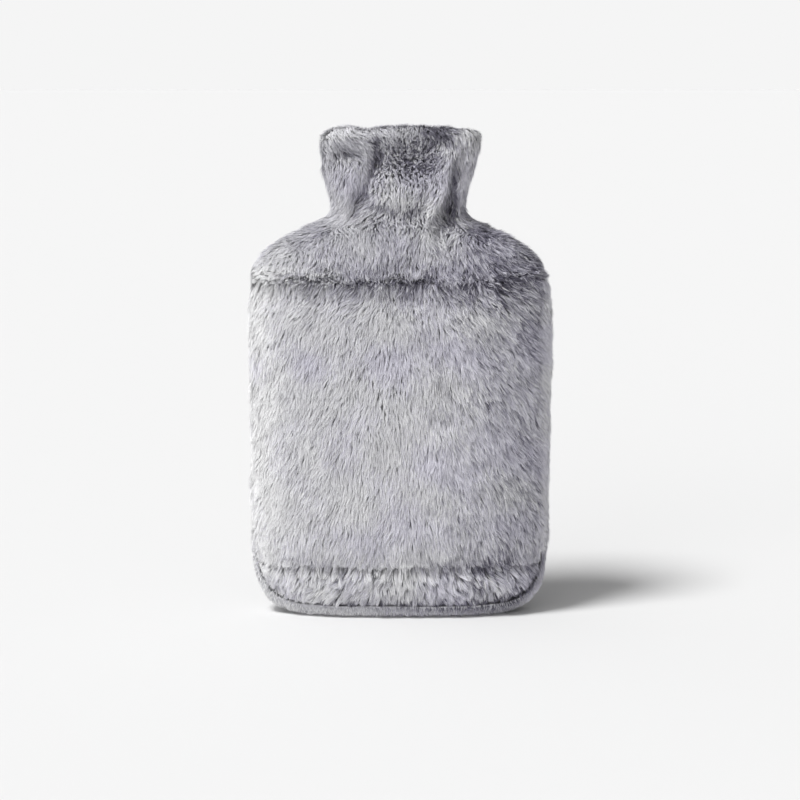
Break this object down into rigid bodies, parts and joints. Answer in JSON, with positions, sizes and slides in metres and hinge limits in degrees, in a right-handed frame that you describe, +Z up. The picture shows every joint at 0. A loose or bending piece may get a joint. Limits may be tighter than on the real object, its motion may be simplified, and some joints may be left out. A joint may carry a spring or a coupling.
{
  "type": "hot water bottle cover",
  "caption": "Long-pile plush cover for a hot water bottle: flat rounded bag, waisted neck flaring to an open mouth, overlapping front hem, foot band and rounded bottom gusset.",
  "frame": {"origin": "middle of the base, on the surface that the cover stands on", "axes": "+Z up towards the neck's mouth, +X to the right as seen from the front, and the front faces -Y"},
  "size_m": [0.21, 0.0761, 0.3418],
  "materials": {
    "plush_back": "long silver-grey pile, matt",
    "plush_yoke": "long silver-grey pile, matt",
    "plush_body": "long silver-grey pile, matt",
    "plush_band": "long silver-grey pile, matt",
    "plush_gusset": "shorn silver-grey pile, velvety"
  },
  "bodies": {
    "root": {"back_panel": "plush_back", "front_yoke_panel": "plush_yoke", "front_body_panel": "plush_body", "front_foot_band": "plush_band", "bottom_gusset": "plush_gusset"}
  },
  "joints": []
}
